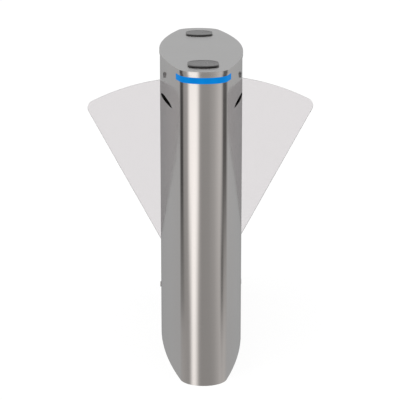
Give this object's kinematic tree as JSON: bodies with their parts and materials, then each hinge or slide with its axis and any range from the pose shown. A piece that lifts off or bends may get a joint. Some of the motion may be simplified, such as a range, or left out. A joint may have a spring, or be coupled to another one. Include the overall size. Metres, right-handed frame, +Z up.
{
  "type": "flap barrier",
  "caption": "Slim stainless walkway barrier with round noses, clear swing flaps at both sides, blue light bands and reader pads on a lift-off lid.",
  "frame": {"origin": "on the floor, in the middle of the cabinet", "axes": "+Z up, +Y along the cabinet, flaps stand out to -X and +X"},
  "size_m": [0.7762, 1.204, 1.0065],
  "materials": {
    "stainless": "brushed stainless sheet",
    "lid_steel": "fine brushed stainless sheet",
    "clear_acrylic": "clear acrylic with polished edges",
    "light_blue": "blue diffuser, lit",
    "black_window": "black infrared window",
    "reader_plastic": "dark grey moulded plastic",
    "painted_steel": "grey powder coat",
    "machined_steel": "machined steel",
    "zinc_steel": "zinc plated sheet",
    "cast_aluminium": "cast and turned aluminium",
    "gear_brass": "cut bronze gear",
    "motor_black": "black enamel",
    "rubber": "moulded rubber",
    "board": "green circuit board",
    "grey_plastic": "grey nylon",
    "terminal_plastic": "beige terminals",
    "sensor_body": "nickel brass barrel"
  },
  "bodies": {
    "cabinet": {"cabinet_shell": "stainless", "base_plate": "painted_steel", "floor_bolts": "zinc_steel", "cable_grommets": "rubber", "front_core_plate": "painted_steel", "rear_core_plate": "painted_steel", "core_tie_bars": "machined_steel", "stop_sleeves": "rubber", "left_shaft_bearings": "cast_aluminium", "right_shaft_bearings": "cast_aluminium", "left_drive_bracket": "painted_steel", "right_drive_bracket": "painted_steel", "left_gearbox": "cast_aluminium", "right_gearbox": "cast_aluminium", "left_motor": "motor_black", "right_motor": "motor_black", "position_sensors": "sensor_body", "front_rack": "zinc_steel", "rear_rack": "zinc_steel", "control_board": "board", "power_supply": "zinc_steel", "terminal_block": "terminal_plastic", "backup_battery": "grey_plastic", "front_light_band": "light_blue", "rear_light_band": "light_blue", "light_boards": "board", "sensor_windows": "black_window", "sensor_boards": "board", "slot_guides": "grey_plastic", "lid_lock_housings": "machined_steel"},
    "lid": {"lid": "lid_steel", "front_reader_pad": "reader_plastic", "rear_reader_pad": "reader_plastic", "reader_boards": "board", "lid_catches": "zinc_steel"},
    "left_flap": {"left_flap_panel": "clear_acrylic", "left_flap_arm": "cast_aluminium", "left_clamp_plate": "cast_aluminium", "left_flap_bolts": "zinc_steel", "left_flap_shaft": "machined_steel", "left_sector_gear": "gear_brass"},
    "left_pinion": {"left_pinion": "machined_steel"},
    "left_hatch": {"left_hatch": "stainless", "left_hatch_lock_housing": "machined_steel"},
    "left_hatch_lock": {"left_hatch_lock": "machined_steel"},
    "left_front_lid_lock": {"left_front_lid_lock": "machined_steel"},
    "left_rear_lid_lock": {"left_rear_lid_lock": "machined_steel"},
    "right_flap": {"right_flap_panel": "clear_acrylic", "right_flap_arm": "cast_aluminium", "right_clamp_plate": "cast_aluminium", "right_flap_bolts": "zinc_steel", "right_flap_shaft": "machined_steel", "right_sector_gear": "gear_brass"},
    "right_pinion": {"right_pinion": "machined_steel"},
    "right_hatch": {"right_hatch": "stainless", "right_hatch_lock_housing": "machined_steel"},
    "right_hatch_lock": {"right_hatch_lock": "machined_steel"},
    "right_front_lid_lock": {"right_front_lid_lock": "machined_steel"},
    "right_rear_lid_lock": {"right_rear_lid_lock": "machined_steel"}
  },
  "joints": [
    {"name": "left_flap_swing", "type": "hinge", "parent": "cabinet", "child": "left_flap", "pos_m": [-0.027, 0, 0.125], "axis": [0, 1, 0], "range_deg": [0, 20]},
    {"name": "right_flap_swing", "type": "hinge", "parent": "cabinet", "child": "right_flap", "pos_m": [0.027, 0, 0.125], "axis": [0, -1, 0], "range_deg": [0, 20]},
    {"name": "left_pinion_spin", "type": "hinge", "parent": "cabinet", "child": "left_pinion", "pos_m": [-0.027, -0.09, 0.233], "axis": [0, 1, 0], "range_deg": [-100, 0]},
    {"name": "right_pinion_spin", "type": "hinge", "parent": "cabinet", "child": "right_pinion", "pos_m": [0.027, 0.09, 0.233], "axis": [0, -1, 0], "range_deg": [-100, 0]},
    {"name": "lid_lift", "type": "slide", "parent": "cabinet", "child": "lid", "axis": [0, 0, 1], "range_m": [0, 0.3]},
    {"name": "right_front_lid_lock_turn", "type": "hinge", "parent": "cabinet", "child": "right_front_lid_lock", "pos_m": [0.12126, -0.29, 0.948], "axis": [-0.9917, 0.1287, 0], "range_deg": [0, 90]},
    {"name": "right_rear_lid_lock_turn", "type": "hinge", "parent": "cabinet", "child": "right_rear_lid_lock", "pos_m": [0.12126, 0.29, 0.948], "axis": [-0.9917, -0.1287, 0], "range_deg": [0, 90]},
    {"name": "left_front_lid_lock_turn", "type": "hinge", "parent": "cabinet", "child": "left_front_lid_lock", "pos_m": [-0.12126, -0.29, 0.948], "axis": [0.9917, 0.1287, 0], "range_deg": [0, 90]},
    {"name": "left_rear_lid_lock_turn", "type": "hinge", "parent": "cabinet", "child": "left_rear_lid_lock", "pos_m": [-0.12126, 0.29, 0.948], "axis": [0.9917, -0.1287, 0], "range_deg": [0, 90]},
    {"name": "left_hatch_tilt", "type": "hinge", "parent": "cabinet", "child": "left_hatch", "pos_m": [-0.13996, 0, 0.05], "axis": [0, -1, 0], "range_deg": [0, 30]},
    {"name": "right_hatch_tilt", "type": "hinge", "parent": "cabinet", "child": "right_hatch", "pos_m": [0.13996, 0, 0.05], "axis": [0, 1, 0], "range_deg": [0, 30]},
    {"name": "left_hatch_lock_turn", "type": "hinge", "parent": "left_hatch", "child": "left_hatch_lock", "pos_m": [-0.13996, -0.014, 0.166], "axis": [-1, -0.0062, 0], "range_deg": [0, 90]},
    {"name": "right_hatch_lock_turn", "type": "hinge", "parent": "right_hatch", "child": "right_hatch_lock", "pos_m": [0.13996, 0.014, 0.166], "axis": [1, 0.0062, 0], "range_deg": [0, 90]}
  ],
  "couplings": [
    {"joint": "left_pinion_spin", "follows": "left_flap_swing", "ratio": -5},
    {"joint": "right_pinion_spin", "follows": "right_flap_swing", "ratio": -5}
  ]
}
